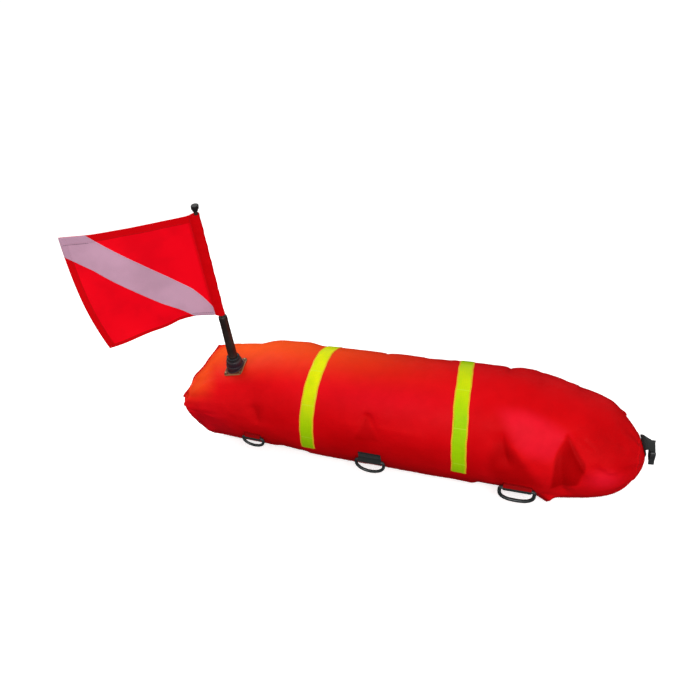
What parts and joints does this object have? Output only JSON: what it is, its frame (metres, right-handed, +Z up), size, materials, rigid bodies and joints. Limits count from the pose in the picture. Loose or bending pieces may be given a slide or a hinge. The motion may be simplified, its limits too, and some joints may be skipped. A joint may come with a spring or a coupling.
{
  "type": "dive flag float",
  "caption": "Long inflated torpedo float with reflective bands, a diver-down flag on an upright pole, hinged D-rings along one side and a buckled tow strap.",
  "frame": {"origin": "middle of the object's box, on the floor plane under the float's flattened underside", "axes": "+X along the float from the flat seamed end, where the flag pole stands, to the rounded end with the tow strap; +Z up along the flag pole; the D-rings hang on the -Y side"},
  "size_m": [0.8892, 0.2319, 0.4922],
  "materials": {
    "cover": "coated nylon, satin",
    "bladder": "smooth welded film",
    "end_patch": "coated nylon, satin",
    "seam_binding": "woven binding tape",
    "band_left": "retroreflective tape, glossy",
    "band_right": "retroreflective tape, glossy",
    "tab_left": "woven webbing",
    "tab_middle": "woven webbing",
    "tab_right": "woven webbing",
    "socket": "moulded, fine grain",
    "backing_plate": "moulded",
    "collar": "moulded, ribbed grip",
    "valve_body": "moulded",
    "valve_nut": "moulded",
    "mouthpiece": "soft rubber",
    "valve_cap": "soft rubber",
    "tow_strap": "woven webbing",
    "buckle": "moulded acetal",
    "foot_plug": "soft rubber",
    "pole_tube": "extruded tube",
    "ferrule": "turned",
    "flag_rod": "glass-fibre rod",
    "end_cap": "moulded",
    "flag": "nylon flag cloth, hemmed",
    "stripe_front": "nylon flag cloth, stitched on",
    "stripe_back": "nylon flag cloth, stitched on",
    "ring_left": "moulded acetal",
    "ring_middle": "moulded acetal",
    "ring_right": "moulded acetal",
    "rivet_1": "pressed",
    "rivet_2": "pressed",
    "rivet_3": "pressed",
    "rivet_4": "pressed"
  },
  "bodies": {
    "float_body": {"cover_shell": "cover", "air_bladder": "bladder", "end_patch": "end_patch", "end_seam_binding": "seam_binding", "reflective_band_left": "band_left", "reflective_band_right": "band_right", "ring_tab_left": "tab_left", "ring_tab_middle": "tab_middle", "ring_tab_right": "tab_right", "pole_socket": "socket", "socket_backing_plate": "backing_plate", "socket_rivet_1": "rivet_1", "socket_rivet_2": "rivet_2", "socket_rivet_3": "rivet_3", "socket_rivet_4": "rivet_4", "valve_body": "valve_body", "valve_lock_nut": "valve_nut", "tow_strap": "tow_strap"},
    "collar": {"socket_collar": "collar"},
    "pole": {"pole_foot_plug": "foot_plug", "pole_tube": "pole_tube", "rod_ferrule": "ferrule", "flag_rod": "flag_rod", "rod_end_cap": "end_cap"},
    "flag": {"flag_cloth": "flag", "flag_stripe_front": "stripe_front", "flag_stripe_back": "stripe_back"},
    "ring_left": {"d_ring_left": "ring_left"},
    "ring_middle": {"d_ring_middle": "ring_middle"},
    "ring_right": {"d_ring_right": "ring_right"},
    "buckle": {"buckle_plug": "buckle"},
    "mouthpiece": {"valve_mouthpiece": "mouthpiece"},
    "cap": {"valve_cap": "valve_cap"}
  },
  "joints": [
    {"name": "ring_swing_left", "type": "hinge", "parent": "float_body", "child": "ring_left", "pos_m": [-0.22689, -0.08544, 0.07122], "axis": [-0.9992, 0.0406, 0], "range_deg": [-12, 150]},
    {"name": "ring_swing_middle", "type": "hinge", "parent": "float_body", "child": "ring_middle", "pos_m": [-0.01176, -0.09692, 0.07405], "axis": [-0.9998, 0.0185, 0], "range_deg": [-12, 150]},
    {"name": "ring_swing_right", "type": "hinge", "parent": "float_body", "child": "ring_right", "pos_m": [0.23126, -0.10299, 0.06995], "axis": [-1, 0.0076, 0], "range_deg": [-12, 150]},
    {"name": "collar_turn", "type": "hinge", "parent": "float_body", "child": "collar", "pos_m": [-0.26917, -0.01261, 0.1885], "axis": [0, 0, 1], "range_deg": [0, 90]},
    {"name": "pole_lift", "type": "slide", "parent": "float_body", "child": "pole", "axis": [0, 0, 1], "range_m": [0, 0.026]},
    {"name": "flag_swivel", "type": "hinge", "parent": "pole", "child": "flag", "pos_m": [-0.26917, -0.01261, 0.289], "axis": [0, 0, 1], "continuous": true},
    {"name": "buckle_swing", "type": "hinge", "parent": "float_body", "child": "buckle", "pos_m": [0.43583, 0.00939, 0.0895], "axis": [0, -0.9848, -0.1736], "range_deg": [0, 90]},
    {"name": "valve_pull", "type": "slide", "parent": "float_body", "child": "mouthpiece", "axis": [-0.0183, 0.9985, 0.0512], "range_m": [0, 0.003]},
    {"name": "cap_pull", "type": "slide", "parent": "mouthpiece", "child": "cap", "axis": [-0.0183, 0.9985, 0.0512], "range_m": [0, 0.014]}
  ]
}
